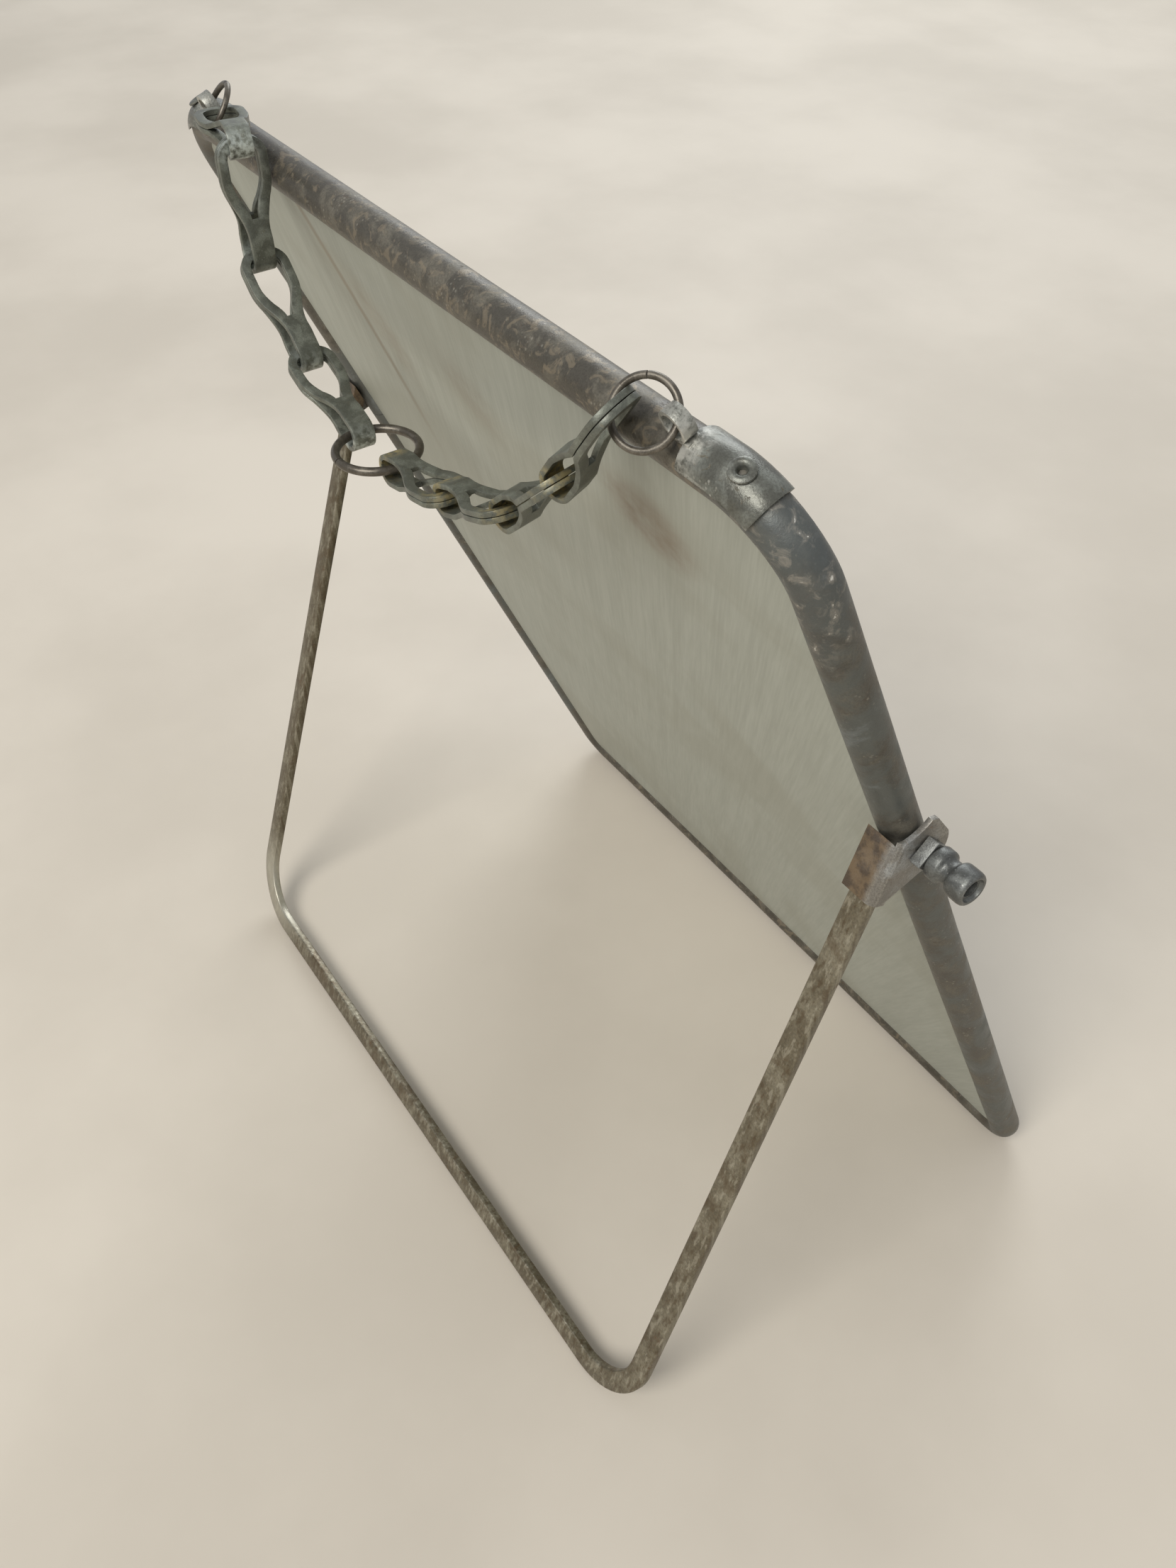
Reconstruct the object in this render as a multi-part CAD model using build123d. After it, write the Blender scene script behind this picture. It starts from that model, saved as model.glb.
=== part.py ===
from build123d import *
from math import sin, cos, tan, radians, sqrt, hypot
import os

os.makedirs("parts", exist_ok=True)

# Folding shaving mirror, millimetres.  +Z is up and the table is Z = 0.  The glass faces -Y and
# leans back; the wire stand is behind it at +Y.  The origin is the middle of the footprint.
# "left" is -X and "right" is +X, as seen by the person facing the glass.

# ---- driving dimensions ----
PANEL_W = 155.0          # rim outside width
PANEL_H = 200.0          # rim outside height
LEAN = 23.8              # panel's lean from upright, degrees
RIM_R = 3.0              # outside radius of the rolled rim
RIM_WALL = 0.6
TOP_CORNER_R = 14.0
FOOT_CORNER_R = 8.0
SEAM_V = 130.0           # height up the panel where the two rim halves meet
GLASS_T = 2.8
CARD_T = 0.45
PLATE_T = 0.48
SLOT_FRONT = 1.1         # rim slot, measured back from the rim's front tangent
SLOT_BACK = 4.9
PANE_INSET = 1.6         # edge of glass, card and plate inside the rim's outside edge
PIVOT_V = 133.5          # stand pivot, up the panel
STAND_OPEN = 19.1        # stand's angle from upright when open
BAR_W = 4.0              # stand strip, across
BAR_T = 1.72             # stand strip, thick
ARM_OUT_X = 77.65        # outer side of each stand arm
ARM_SET_BACK = 4.2       # strip's middle behind the pivot axis
BEND_R = 10.5            # inside radius of the stand's two bends
SHEET = 0.8              # sheet of the hinge plates
LUG_T = 0.5              # sheet of the lugs
STUD_R = 1.2
NUT_R = 2.6              # head of the thumb nut
LINK_PITCH = 16.2
LINK_T = 0.75            # strip the links are folded from
FOLD_R = 1.6             # inside radius of a link's fold
NECK_W = 3.4
LOOP_W = 7.4
END_RING_R = 3.8         # wire centre
END_WIRE_R = 0.42
HANG_RING_D = 12.0       # wire centre to wire centre
HANG_WIRE_R = 0.65
EYE_X = 59.0
CHAIN_Y = 89.2           # plane in which the chain hangs, before the origin is centred
RIGHT_SLOPES = (-4.0, 89.5, 43.0, 21.5)     # each link's fall towards the middle, degrees
LEFT_SLOPES = (53.4, 41.0, 20.617, 12.09)
LEFT_ROLLS = (18.0, 9.0, 0.0, 0.0)          # how far each link leans off the rim
RIGHT_ROLLS = (0.0, 0.0, 0.0, 0.0)

# ---- frames ----
S, C = sin(radians(LEAN)), cos(radians(LEAN))
SO, CO = sin(radians(STAND_OPEN)), cos(radians(STAND_OPEN))
LIFT = RIM_R - RIM_R * C + RIM_R * S
PIVOT_Y0 = PIVOT_V * S + RIM_R * C
PIVOT_Z = PIVOT_V * C - RIM_R * S + LIFT
ARM_L = (PIVOT_Z + (ARM_SET_BACK - BAR_T / 2) * SO) / CO
Y_FRONT = RIM_R * S + RIM_R * C - RIM_R
Y_BACK = PIVOT_Y0 + ARM_L * SO + (ARM_SET_BACK + BAR_T / 2) * CO
Y_SHIFT = -(Y_FRONT + Y_BACK) / 2

# panel frame: x across, y up the panel, z out of the glass (the back is at negative z)
PANEL = Plane(origin=(0, Y_SHIFT, LIFT), x_dir=(1, 0, 0), z_dir=(0, -C, S))
# stand frame: origin on the pivot axis, y up the arms, z towards the panel
STAND = Plane(origin=(0, PIVOT_Y0 + Y_SHIFT, PIVOT_Z), x_dir=(1, 0, 0), z_dir=(0, -CO, -SO))


def on_panel(u, v, w):
    """World point at u across, v up the panel and w back from the rim's front."""
    return Vector(u, v * S + w * C + Y_SHIFT, v * C - w * S + LIFT)


def save(shape, name):
    shape.label = name
    export_step(shape, "parts/" + name + ".step")


def panel_outline(inset, top_r, foot_r):
    """Closed outline of the panel in its own frame, inset from the rim's outside."""
    x = PANEL_W / 2 - inset
    y0, y1 = inset, PANEL_H - inset
    edges = [
        Line((x - top_r, y1), (-x + top_r, y1)),
        CenterArc((-x + top_r, y1 - top_r), top_r, 90, 90),
        Line((-x, y1 - top_r), (-x, y0 + foot_r)),
        CenterArc((-x + foot_r, y0 + foot_r), foot_r, 180, 90),
        Line((-x + foot_r, y0), (x - foot_r, y0)),
        CenterArc((x - foot_r, y0 + foot_r), foot_r, 270, 90),
        Line((x, y0 + foot_r), (x, y1 - top_r)),
        CenterArc((x - top_r, y1 - top_r), top_r, 0, 90),
    ]
    return Wire([e.edge() if hasattr(e, "edge") else e for e in edges])


def pane(back_of, thick, inset=PANE_INSET):
    """Flat sheet of the panel's outline whose front is back_of behind the rim's front."""
    wire = panel_outline(inset, TOP_CORNER_R - inset, FOOT_CORNER_R - inset)
    sheet = extrude(make_face(wire), amount=-thick)
    return PANEL * (Pos(0, 0, -back_of) * sheet)


def rim_profile():
    """C section of the rolled rim at the origin, opening towards -x."""
    ring = Circle(RIM_R) - Circle(RIM_R - RIM_WALL)
    high = RIM_R - SLOT_FRONT
    low = RIM_R - SLOT_BACK
    slot = Pos(-RIM_R - 0.5, (high + low) / 2) * Rectangle(2 * RIM_R, high - low)
    return ring - slot


def rim_path(points_up):
    """Centre line of the upper (True) or the lower half of the rim."""
    x = PANEL_W / 2 - RIM_R
    if points_up:
        r = TOP_CORNER_R - RIM_R
        y = PANEL_H - RIM_R
        return [
            Line((x, SEAM_V + 0.05), (x, y - r)),
            CenterArc((x - r, y - r), r, 0, 90),
            Line((x - r, y), (-x + r, y)),
            CenterArc((-x + r, y - r), r, 90, 90),
            Line((-x, y - r), (-x, SEAM_V + 0.05)),
        ]
    r = FOOT_CORNER_R - RIM_R
    y = RIM_R
    return [
        Line((-x, SEAM_V - 0.05), (-x, y + r)),
        CenterArc((-x + r, y + r), r, 180, 90),
        Line((-x + r, y), (x - r, y)),
        CenterArc((x - r, y + r), r, 270, 90),
        Line((x, y + r), (x, SEAM_V - 0.05)),
    ]


def rim_half(points_up):
    path = Wire([e.edge() for e in rim_path(points_up)])
    side = 1 if points_up else -1
    x = side * (PANEL_W / 2 - RIM_R)
    v = SEAM_V + side * 0.05
    start = Plane(origin=(x, v, 0), x_dir=(side, 0, 0), z_dir=(0, side, 0))
    # the section's x points outwards and its y towards the front of the panel
    flip = -1 if side > 0 else 1
    face = start * (Rot(0, 0, 0) * mirror(rim_profile(), Plane.XZ) if flip < 0 else rim_profile())
    solid = sweep(face, path=path)
    return Pos(0, 0, -RIM_R) * solid


def stud_hole(side, radius):
    """Bore across the panel at the stand pivot."""
    hole = Cylinder(radius, 14, rotation=(0, 90, 0))
    return Pos(side * PANEL_W / 2, PIVOT_V, -RIM_R) * hole


# ---- lug seat: where the lug's rivet crosses the rim's corner ----
RIVET_TURN = 17.0        # round the top corner from the straight, degrees
LUG_END_TURN = 35.0
LUG_COVER = 1.3          # nearest the saddle comes to the middle of the rim's tube
RIVET_R = 0.9


def at_corner(side, turn, radial, solid):
    """Place a solid, its +z outwards, on the top corner at a turn from the straight top."""
    cx = side * (PANEL_W / 2 - TOP_CORNER_R)
    cy = PANEL_H - TOP_CORNER_R
    a = radians(turn)
    out = Vector(side * sin(a), cos(a), 0)
    base = Vector(cx, cy, -RIM_R) + out * (TOP_CORNER_R + radial)
    return Plane(origin=base, x_dir=(0, 0, 1), z_dir=out) * solid


upper = rim_half(True)
lower = rim_half(False)
for side in (1, -1):
    upper = upper - stud_hole(side, STUD_R + 0.03)
    upper = upper - at_corner(side, RIVET_TURN, 0, Cylinder(RIVET_R + 0.03, 4))
save(PANEL * upper, "frame_upper")
save(PANEL * lower, "frame_lower")

save(pane(SLOT_FRONT + 0.02, GLASS_T), "mirror_glass")
save(pane(SLOT_FRONT + 0.02 + GLASS_T, CARD_T), "backing_card")
save(pane(SLOT_FRONT + 0.02 + GLASS_T + CARD_T, PLATE_T), "back_plate")

# ---- lugs riveted over the top corners, with a rolled eye for the end ring ----
EYE_V = PANEL_H + 2.05
EYE_W = 3.5
EYE_BORE_R = 1.5
EYE_LEN = 1.8
LUG_IN_R = RIM_R + 0.05
LUG_OUT_R = LUG_IN_R + LUG_T


def lug(side):
    """Half-round saddle over the rim, running from the eye round the corner."""
    band = Circle(LUG_OUT_R) - Circle(LUG_IN_R)
    keep = Rectangle(LUG_OUT_R, 2 * LUG_OUT_R, align=(Align.MIN, Align.CENTER))
    band = band & (Pos(LUG_COVER, 0) * keep)
    cx = PANEL_W / 2 - TOP_CORNER_R
    cy = PANEL_H - TOP_CORNER_R
    r = TOP_CORNER_R - RIM_R
    straight = Line((EYE_X + 1.0, cy + r), (cx, cy + r))
    corner = CenterArc((cx, cy), r, 90, -LUG_END_TURN)
    start = Plane(origin=(EYE_X + 1.0, cy + r, 0), x_dir=(0, 1, 0), z_dir=(1, 0, 0))
    saddle = sweep(start * band, path=Wire([straight.edge(), corner.edge()]))
    saddle = Pos(0, 0, -RIM_R) * saddle
    saddle = saddle - at_corner(1, RIVET_TURN, 0, Cylinder(RIVET_R + 0.03, 4))
    eye_out = EYE_BORE_R + LUG_T
    barrel = Cylinder(eye_out, EYE_LEN) - Cylinder(EYE_BORE_R, EYE_LEN + 1)
    barrel = Pos(EYE_X, EYE_V, -EYE_W) * barrel
    low = PANEL_H + LUG_IN_R - RIM_R
    tongue = Box(eye_out, LUG_T, EYE_LEN, align=(Align.MIN, Align.MIN, Align.CENTER))
    tongue = Pos(EYE_X, low, -EYE_W) * tongue
    tongue = tongue - Pos(EYE_X, EYE_V, -EYE_W) * Cylinder(EYE_BORE_R, EYE_LEN + 1)
    clear = Pos(EYE_X, PANEL_H - RIM_R, -RIM_R) * Cylinder(LUG_IN_R + 0.03, 12, rotation=(0, 90, 0))
    body = saddle + (barrel + tongue - clear)
    body = max(body.solids(), key=lambda s: s.volume)
    if side < 0:
        body = mirror(body, Plane.YZ)
    return body


rivet = Cylinder(RIVET_R, 1.9) + Pos(0, 0, 1.2) * Cylinder(1.55, 0.5)
rivet = rivet - Cylinder(0.5, 5)
RIVET_OUT = LUG_IN_R - RIM_R + LUG_T - 0.95
for side, name in ((1, "right"), (-1, "left")):
    save(PANEL * lug(side), "lug_" + name)
    save(PANEL * at_corner(side, RIVET_TURN, RIVET_OUT, rivet), "lug_rivet_" + name)

# ---- pivot: splice strip inside the rim, stud, hinge plate, square nut, thumb nut ----
STRIP_IN = 76.05
STRIP_T = 0.45
PLATE_IN = PANEL_W / 2 + 0.2
PLATE_OUT = PLATE_IN + SHEET
NUT_SQ = 4.2
NUT_SQ_T = 1.8
STUD_END = 85.8


def pivot_frame(solid, side):
    """Turn a solid built along +z outwards onto the pivot axis in the panel's frame."""
    placed = Plane(origin=(0, PIVOT_V, -RIM_R), x_dir=(0, 1, 0), z_dir=(side, 0, 0)) * solid
    return PANEL * placed


def spacer(lo, hi, radius):
    return Pos(0, 0, (lo + hi) / 2) * Cylinder(radius, hi - lo)


for side, name in ((1, "right"), (-1, "left")):
    strip = Box(14.0, 2.6, STRIP_T)
    strip = Pos(SEAM_V - PIVOT_V, 0, STRIP_IN + STRIP_T / 2) * strip
    strip = strip - spacer(STRIP_IN - 1, STRIP_IN + 1, STUD_R)
    save(pivot_frame(strip, side), "splice_strip_" + name)

    stud = spacer(STRIP_IN, STUD_END, STUD_R)
    stud = stud - Pos(0, 0, STUD_END) * Box(0.4, 3, 0.8)
    save(pivot_frame(stud, side), "pivot_stud_" + name)

    boss = Box(NUT_SQ, NUT_SQ, NUT_SQ_T)
    boss = Pos(0, 0, PLATE_OUT + 0.2 + NUT_SQ_T / 2) * (Rot(0, 0, 20) * boss)
    boss = boss - spacer(PLATE_OUT - 1, PLATE_OUT + 4, STUD_R + 0.01)
    save(pivot_frame(boss, side), "square_nut_" + name)

    z0 = PLATE_OUT + 0.2 + NUT_SQ_T + 0.2
    thumb = spacer(z0, z0 + 1.9, 2.5)
    thumb = thumb + spacer(z0 + 1.8, z0 + 3.6, 1.9)
    head = spacer(z0 + 3.5, z0 + 6.7, NUT_R)
    head = chamfer(head.edges().filter_by(GeomType.CIRCLE), 0.6)
    thumb = thumb + head
    thumb = thumb - spacer(z0 - 1, STUD_END + 0.2, STUD_R + 0.06)
    thumb = thumb - spacer(z0 + 6.1, z0 + 8, 1.7)
    save(pivot_frame(thumb, side), "thumb_nut_" + name)

# ---- hinge plates: flat on the stud, folded round the end of each stand arm ----
ARM_MID = ARM_SET_BACK
BACK_OUT = ARM_MID + BAR_T / 2 + SHEET
SLEEVE_END = 8.6
SLEEVE_TOP = 1.9
FLANGE = 0.9             # how far the fold reaches past the arm's inner side
MITRE_GAP = 0.35         # clearance between the sleeve's top and the back of the rim


def mitre(side):
    """Block in the world that trims whatever would reach into the rim."""
    block = Box(12, 60, 20, align=(Align.CENTER, Align.CENTER, Align.MIN))
    spot = Pos(side * (ARM_OUT_X - 6 + 0.05), PIVOT_V, -2 * RIM_R - MITRE_GAP)
    return PANEL * (spot * block)


def plate_outline():
    """Side plate in (up the arm, towards the panel), hollowed along its top edge."""
    top_back = (SLEEVE_TOP, -BACK_OUT + 1.0)
    corner = (5.2, -1.4)
    edges = [
        ThreePointArc(top_back, (2.9, -3.2), corner),
        Line(corner, (5.3, -0.2)),
        Line((5.3, -0.2), (2.8, 3.3)),
        ThreePointArc((2.8, 3.3), (-1.0, 4.2), (-4.0, 1.5)),
        Line((-4.0, 1.5), (-SLEEVE_END + 0.8, -3.0)),
        Line((-SLEEVE_END + 0.8, -3.0), (-SLEEVE_END, -BACK_OUT + 1.2)),
        Line((-SLEEVE_END, -BACK_OUT + 1.2), top_back),
    ]
    return make_face(Wire([e.edge() for e in edges]))


def hinge_plate(side):
    flat = Plane(origin=(0, 0, 0), x_dir=(0, 1, 0), z_dir=(1, 0, 0)) * plate_outline()
    flat = extrude(flat, amount=SHEET, dir=(1, 0, 0))
    flat = Pos(PLATE_IN, 0, 0) * flat
    flat = flat - Pos(PLATE_IN, 0, 0) * Cylinder(STUD_R + 0.05, 4, rotation=(0, 90, 0))
    # in the stand frame z is towards the panel, so the back is at negative z
    x_in = ARM_OUT_X - BAR_W - FLANGE
    long = SLEEVE_END + SLEEVE_TOP
    y_mid = -SLEEVE_END + long / 2
    deep = BAR_T + SHEET
    z_mid = -ARM_MID - SHEET / 2
    block = Pos((x_in + PLATE_OUT) / 2, y_mid, z_mid) * Box(PLATE_OUT - x_in, long, deep)
    rounded = block.edges().filter_by(Axis.Y).sort_by(lambda e: e.center().Z - e.center().X)[0]
    block = fillet(rounded, 1.5)
    inner = x_in + FLANGE - 0.05
    hollow = Box(PLATE_IN - inner, long + 2, BAR_T + 0.04)
    sleeve = block - Pos((inner + PLATE_IN) / 2, y_mid, -ARM_MID) * hollow
    body = flat + sleeve
    if side < 0:
        body = mirror(body, Plane.YZ)
    trimmed = STAND * body - mitre(side)
    return max(trimmed.solids(), key=lambda s: s.volume)


for side, name in ((1, "right"), (-1, "left")):
    save(hinge_plate(side), "hinge_plate_" + name)


def stand_wire():
    """Flat strip bent edgewise into a U; its ends are mitred clear of the rim."""
    xo = ARM_OUT_X
    ro = BEND_R + BAR_W
    top = 8.0
    outer = [
        Line((-xo, top), (-xo, -ARM_L + ro)),
        CenterArc((-xo + ro, -ARM_L + ro), ro, 180, 90),
        Line((-xo + ro, -ARM_L), (xo - ro, -ARM_L)),
        CenterArc((xo - ro, -ARM_L + ro), ro, 270, 90),
        Line((xo, -ARM_L + ro), (xo, top)),
        Line((xo, top), (xo - BAR_W, top)),
        Line((xo - BAR_W, top), (xo - BAR_W, -ARM_L + ro)),
        CenterArc((xo - ro, -ARM_L + ro), BEND_R, 0, -90),
        Line((xo - ro, -ARM_L + BAR_W), (-xo + ro, -ARM_L + BAR_W)),
        CenterArc((-xo + ro, -ARM_L + ro), BEND_R, 270, -90),
        Line((-xo + BAR_W, -ARM_L + ro), (-xo + BAR_W, top)),
        Line((-xo + BAR_W, top), (-xo, top)),
    ]
    face = make_face(Wire([e.edge() for e in outer]))
    strip = extrude(face, amount=BAR_T)
    strip = STAND * (Pos(0, 0, -ARM_MID - BAR_T / 2) * strip)
    for side in (1, -1):
        strip = strip - mitre(side)
    return strip


save(stand_wire(), "stand_wire")


# ---- chain ----
def tapered(half_from, x_from, half_to, x_to):
    """Two edges that ease from one half width to another, and the x where each ends."""
    mid = ((x_from + x_to) / 2, (half_from + half_to) / 2)
    ease = [(1, 0), (1, 0)]
    top = Spline([(x_from, half_from), mid, (x_to, half_to)], tangents=ease)
    low = Spline([(x_from, -half_from), (mid[0], -mid[1]), (x_to, -half_to)], tangents=ease)
    return top, low


def link_solid():
    """One folded link: end bar at the origin, fold at +x, lying in the xy plane."""
    h = LOOP_W / 2
    n = NECK_W / 2
    x_tip, x_wide, x_neck, x_end = -0.7, 5.0, 12.6, 20.0
    r = 2.9
    top, low = tapered(h, x_wide, n, x_neck)
    edges = [
        CenterArc((x_tip + r, h - r), r, 90, 90),
        Line((x_tip, h - r), (x_tip, r - h)),
        CenterArc((x_tip + r, r - h), r, 180, 90),
        Line((x_tip + r, -h), (x_wide, -h)),
        low,
        Line((x_neck, -n), (x_end, -n)),
        Line((x_end, -n), (x_end, n)),
        Line((x_end, n), (x_neck, n)),
        top,
        Line((x_wide, h), (x_tip + r, h)),
    ]
    plan = make_face(Wire([e.edge() for e in edges]))
    wide, point, x_in, x_mid, x_out = 2.4, 0.6, 0.7, 5.0, 10.6
    top, low = tapered(wide, x_mid, point, x_out)
    r = 1.5
    edges = [
        CenterArc((x_in + r, wide - r), r, 90, 90),
        Line((x_in, wide - r), (x_in, r - wide)),
        CenterArc((x_in + r, r - wide), r, 180, 90),
        Line((x_in + r, -wide), (x_mid, -wide)),
        low,
        Line((x_out, -point), (x_out, point)),
        top,
        Line((x_mid, wide), (x_in + r, wide)),
    ]
    hole = make_face(Wire([e.edge() for e in edges]))
    tall = extrude(plan - hole, amount=4, both=True)

    t, g, f = LINK_T, 0.05, FOLD_R

    def u_shape(end, low, high, reach):
        edges = [
            Line((end, high), (8.0, high)),
            Line((8.0, high), (13.4, reach)),
            Line((13.4, reach), (LINK_PITCH, reach)),
            CenterArc((LINK_PITCH, 0), reach, 90, -180),
            Line((LINK_PITCH, -reach), (13.4, -reach)),
            Line((13.4, -reach), (8.0, -high)),
            Line((8.0, -high), (end, -high)),
            Line((end, -high), (end, high)),
        ]
        return make_face(Wire([e.edge() for e in edges]))

    side_view = u_shape(-1.2, 0, g + t, f + t) - u_shape(-2.0, 0, g, f)
    side_face = Plane.XZ * side_view
    folded = extrude(side_face, amount=6, both=True)
    return tall & folded


def link_frames(side, slopes, rolls, start):
    """Frames of the four links from the eye inwards; returns frames and the last fold."""
    yaw = (CHAIN_Y + Y_SHIFT - start.Y) / LINK_PITCH
    frames = []
    here = start
    for i, slope in enumerate(slopes):
        a = radians(slope)
        across = yaw if i == 0 else 0.0
        flat = sqrt(1 - across * across)
        along = Vector(-side * cos(a) * flat, across, -sin(a) * flat)
        bar = Vector(side * cos(a) * across, flat, sin(a) * across)
        lean = radians(-side * rolls[i])
        normal = along.cross(bar) * cos(lean) + bar * sin(lean)
        frames.append(Plane(origin=here, x_dir=along, z_dir=normal))
        here = here + along * LINK_PITCH
    return frames, here


# where each first link's loop hangs on its end ring, and how far its end bar lies inside
HOOK = {1: Vector(51.6, 86.2 + Y_SHIFT, 185.5), -1: Vector(-52.7, 88.7 + Y_SHIFT, 184.0)}
WIRE_TO_BAR = {1: 2.0, -1: 2.5}
SLOPES = {1: RIGHT_SLOPES, -1: LEFT_SLOPES}
ROLLS = {1: RIGHT_ROLLS, -1: LEFT_ROLLS}
RING_RISE = Vector(0, -0.6, 0.8)     # the end rings stand up and lean over the rim


def first_bar(side):
    """Middle of the first link's end bar, inside the end ring."""
    a = radians(SLOPES[side][0])
    start = HOOK[side]
    for _ in range(6):
        across = (CHAIN_Y + Y_SHIFT - start.Y) / LINK_PITCH
        flat = sqrt(1 - across * across)
        along = Vector(-side * cos(a) * flat, across, -sin(a) * flat)
        start = HOOK[side] - along * WIRE_TO_BAR[side]
    return start


def torus_at(middle, normal, ring_r, wire_r):
    return Plane(origin=middle, z_dir=normal) * Torus(ring_r, wire_r)


LINK = link_solid()
last_fold = {}
for side, name in ((1, "right"), (-1, "left")):
    frames, last_fold[side] = link_frames(side, SLOPES[side], ROLLS[side], first_bar(side))
    for number, frame in enumerate(frames, 1):
        save(frame * LINK, "chain_link_" + name + "_" + str(number))

    # the end ring runs through the eye and, opposite, through the first link's loop
    eye = on_panel(side * EYE_X, EYE_V, EYE_W)
    chord = HOOK[side] - eye
    along = chord.normalized()
    rise = (RING_RISE - along * RING_RISE.dot(along)).normalized()
    height = sqrt(END_RING_R ** 2 - (chord.length / 2) ** 2)
    middle = eye + chord * 0.5 + rise * height
    save(torus_at(middle, along.cross(rise), END_RING_R, END_WIRE_R), "end_ring_" + name)

ring_mid = (last_fold[1] + last_fold[-1]) * 0.5
ring_dir = last_fold[1] - last_fold[-1]
save(torus_at(ring_mid, ring_dir.cross(Vector(0, 1, 0)), HANG_RING_D / 2, HANG_WIRE_R),
     "hanging_ring")
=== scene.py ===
import math

import bmesh
import bpy
from mathutils import Matrix, Vector, noise


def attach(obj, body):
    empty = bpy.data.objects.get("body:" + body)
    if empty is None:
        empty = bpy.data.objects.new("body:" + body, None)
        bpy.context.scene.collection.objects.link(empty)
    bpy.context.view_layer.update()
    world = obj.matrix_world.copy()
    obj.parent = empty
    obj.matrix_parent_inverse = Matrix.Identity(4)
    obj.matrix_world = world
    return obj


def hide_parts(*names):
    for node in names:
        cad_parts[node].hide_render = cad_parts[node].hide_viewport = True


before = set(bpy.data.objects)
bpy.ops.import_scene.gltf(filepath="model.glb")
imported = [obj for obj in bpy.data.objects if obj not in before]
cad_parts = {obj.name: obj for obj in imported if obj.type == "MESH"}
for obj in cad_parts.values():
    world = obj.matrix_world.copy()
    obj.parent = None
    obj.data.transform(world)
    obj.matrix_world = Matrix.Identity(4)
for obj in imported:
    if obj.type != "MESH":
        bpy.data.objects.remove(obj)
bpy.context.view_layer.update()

MM = 0.001
# ---- sizes, in millimetres, the same as the metalwork's ----
LEAN = math.radians(23.8)
STAND_OPEN = math.radians(19.1)
PANEL_W, PANEL_H = 155.0, 200.0
RIM_R, RIM_WALL = 3.0, 0.6
TOP_R, FOOT_R = 14.0, 8.0
SEAM_V, SEAM_GAP = 130.0, 0.1
PANE_INSET, BEVEL_W = 1.6, 8.0
PIVOT_V = 133.5
BAR_W, BAR_T, BEND_R = 4.0, 1.72, 10.5
ARM_X, ARM_BACK = 77.65, 4.2
LINK_PITCH, LINK_T, FOLD_R = 16.2, 0.75, 1.6
S, C = math.sin(LEAN), math.cos(LEAN)
SO, CO = math.sin(STAND_OPEN), math.cos(STAND_OPEN)
LIFT = RIM_R - RIM_R * C + RIM_R * S
PIVOT_Y0 = PIVOT_V * S + RIM_R * C
PIVOT_Z = PIVOT_V * C - RIM_R * S + LIFT
ARM_L = (PIVOT_Z + (ARM_BACK - BAR_T / 2) * SO) / CO
Y_FRONT = RIM_R * S + RIM_R * C - RIM_R
Y_BACK = PIVOT_Y0 + ARM_L * SO + (ARM_BACK + BAR_T / 2) * CO
Y_SHIFT = -(Y_FRONT + Y_BACK) / 2


def on_panel(u, v, w):
    """Place u across, v up the panel and w back from the rim's front."""
    return Vector((u, v * S + w * C + Y_SHIFT, v * C - w * S + LIFT)) * MM


def on_stand(x, down, back):
    """Place x across, down the stand's arms and back from the pivot axis."""
    y = PIVOT_Y0 + Y_SHIFT + down * SO + back * CO
    return Vector((x, y, PIVOT_Z - down * CO + back * SO)) * MM


# ---------------------------------------------------------------- materials
def rgb(r, g, b):
    """Linear colour from 0-255 display values."""
    def lin(c):
        c /= 255.0
        return c / 12.92 if c <= 0.04045 else ((c + 0.055) / 1.055) ** 2.4
    return (lin(r), lin(g), lin(b), 1.0)


class Nodes:
    """Small helper for wiring a node tree."""

    def __init__(self, tree):
        self.tree = tree

    def add(self, kind, **inputs):
        node = self.tree.nodes.new(kind)
        for key, value in inputs.items():
            if key.startswith("_"):
                setattr(node, key[1:], value)
        for key, value in inputs.items():
            if key.startswith("_"):
                continue
            name = key.replace("__", " ")
            numbered = name[0] == "i" and name[1:].isdigit()
            socket = node.inputs[int(name[1:]) if numbered else name]
            if isinstance(value, bpy.types.NodeSocket):
                self.tree.links.new(value, socket)
            else:
                socket.default_value = value
        return node

    def mix(self, fac, a, b):
        node = self.tree.nodes.new("ShaderNodeMix")
        node.data_type = "RGBA"
        for socket, value in ((node.inputs[0], fac), (node.inputs[6], a), (node.inputs[7], b)):
            if isinstance(value, bpy.types.NodeSocket):
                self.tree.links.new(value, socket)
            else:
                socket.default_value = value
        return node.outputs[2]

    def math(self, op, a, b=0.0, clamp=False):
        node = self.tree.nodes.new("ShaderNodeMath")
        node.operation = op
        node.use_clamp = clamp
        for socket, value in ((node.inputs[0], a), (node.inputs[1], b)):
            if isinstance(value, bpy.types.NodeSocket):
                self.tree.links.new(value, socket)
            else:
                socket.default_value = value
        return node.outputs[0]

    def ramp(self, fac, low, high):
        """0 below low, 1 above high."""
        node = self.tree.nodes.new("ShaderNodeMapRange")
        node.interpolation_type = "SMOOTHSTEP"
        self.tree.links.new(fac, node.inputs["Value"])
        for key, value in (("From Min", low), ("From Max", high)):
            if isinstance(value, bpy.types.NodeSocket):
                self.tree.links.new(value, node.inputs[key])
            else:
                node.inputs[key].default_value = value
        return node.outputs["Result"]


def shader_group(name, inputs, outputs):
    tree = bpy.data.node_groups.new(name, "ShaderNodeTree")
    for label, kind, value in inputs:
        socket = tree.interface.new_socket(label, in_out="INPUT", socket_type=kind)
        socket.default_value = value
    for label, kind in outputs:
        tree.interface.new_socket(label, in_out="OUTPUT", socket_type=kind)
    n = Nodes(tree)
    return tree, n, n.add("NodeGroupInput"), n.add("NodeGroupOutput")


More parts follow.
